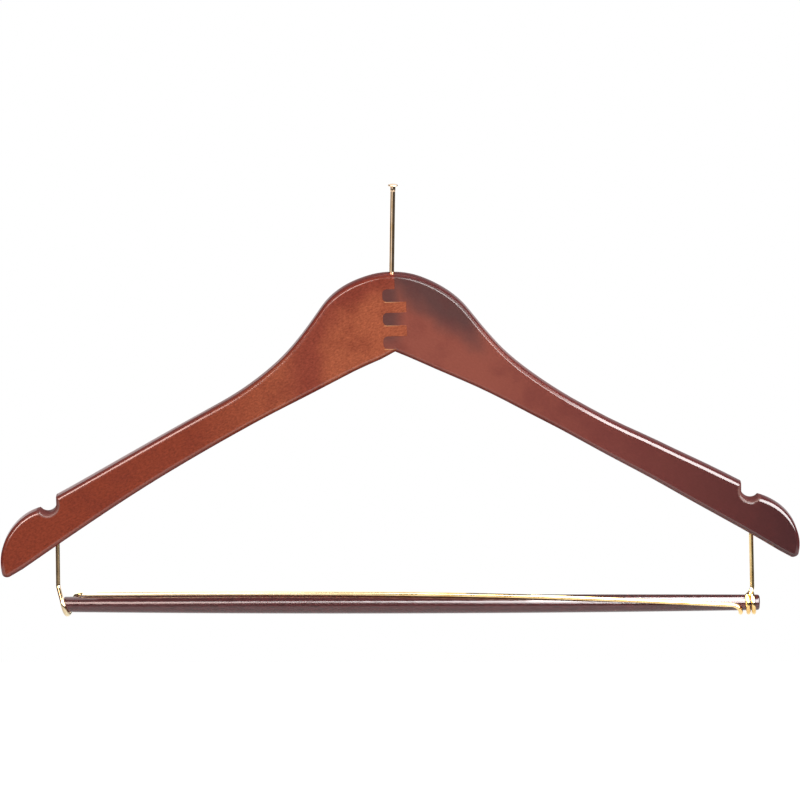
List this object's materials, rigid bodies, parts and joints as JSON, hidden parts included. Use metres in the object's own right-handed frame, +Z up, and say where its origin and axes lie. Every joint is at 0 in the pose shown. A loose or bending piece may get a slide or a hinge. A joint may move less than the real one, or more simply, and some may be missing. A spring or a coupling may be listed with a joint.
{
  "type": "suit hanger",
  "caption": "Varnished wooden suit hanger with a captive brass pin in place of a hook, strap notches and a wire-hung trouser bar with a springy brass locking wire.",
  "frame": {"origin": "centre of the underside of the pin's head, where the rail's ring carries the hanger", "axes": "+X to the right along the trouser bar as the hanger is looked at, +Y through its thickness towards its back, +Z up along the plumb pin"},
  "size_m": [0.4317, 0.0139, 0.2365],
  "materials": {
    "left_arm": "red-brown gloss varnish",
    "right_arm": "dark red-brown gloss varnish",
    "security_pin": "bright brass plating",
    "trouser_bar": "dark red-brown open-pore varnish",
    "left_support_wire": "bright drawn brass",
    "right_support_wire": "bright drawn brass",
    "lock_wire": "bright drawn brass"
  },
  "bodies": {
    "hanger": {"left_arm": "left_arm", "right_arm": "right_arm", "security_pin": "security_pin", "trouser_bar": "trouser_bar", "left_support_wire": "left_support_wire", "right_support_wire": "right_support_wire"},
    "locking_wire": {"lock_wire": "lock_wire"}
  },
  "joints": [
    {"name": "lock_wire_swing", "type": "hinge", "parent": "hanger", "child": "locking_wire", "pos_m": [-0.15931, 0, -0.22262], "axis": [0, 0, -1], "range_deg": [0, 15], "stiffness_Nm_per_rad": 1.6}
  ]
}
